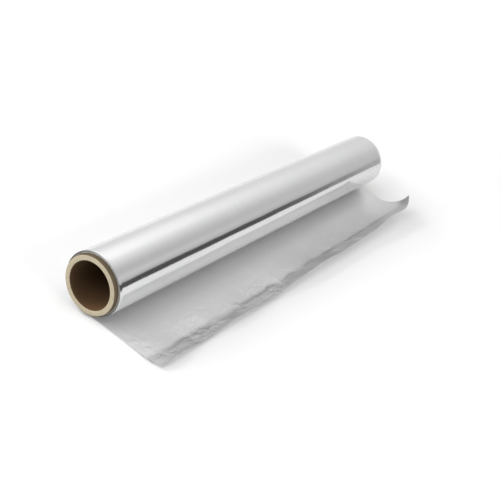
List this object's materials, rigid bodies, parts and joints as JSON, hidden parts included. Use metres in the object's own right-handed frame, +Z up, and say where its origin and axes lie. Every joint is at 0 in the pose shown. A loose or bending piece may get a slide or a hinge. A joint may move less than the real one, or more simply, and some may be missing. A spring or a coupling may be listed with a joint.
{
  "type": "aluminium foil roll",
  "caption": "Wide household foil wound on a cardboard tube, lying on its side with the loose end of the web pulled out flat and curling up at a corner.",
  "frame": {"origin": "on the axis of the tube's bore, half way along the roll", "axes": "+X along the roll towards the end where the loose corner curls up, +Z up from the table, -Y the way the loose end of the web lies"},
  "size_m": [0.3056, 0.0726, 0.0372],
  "materials": {
    "core": "spiral-wound kraft board, matt",
    "foil": "mirror-bright outside, satin inside"
  },
  "bodies": {
    "root": {"core": "core", "foil": "foil"}
  },
  "joints": []
}
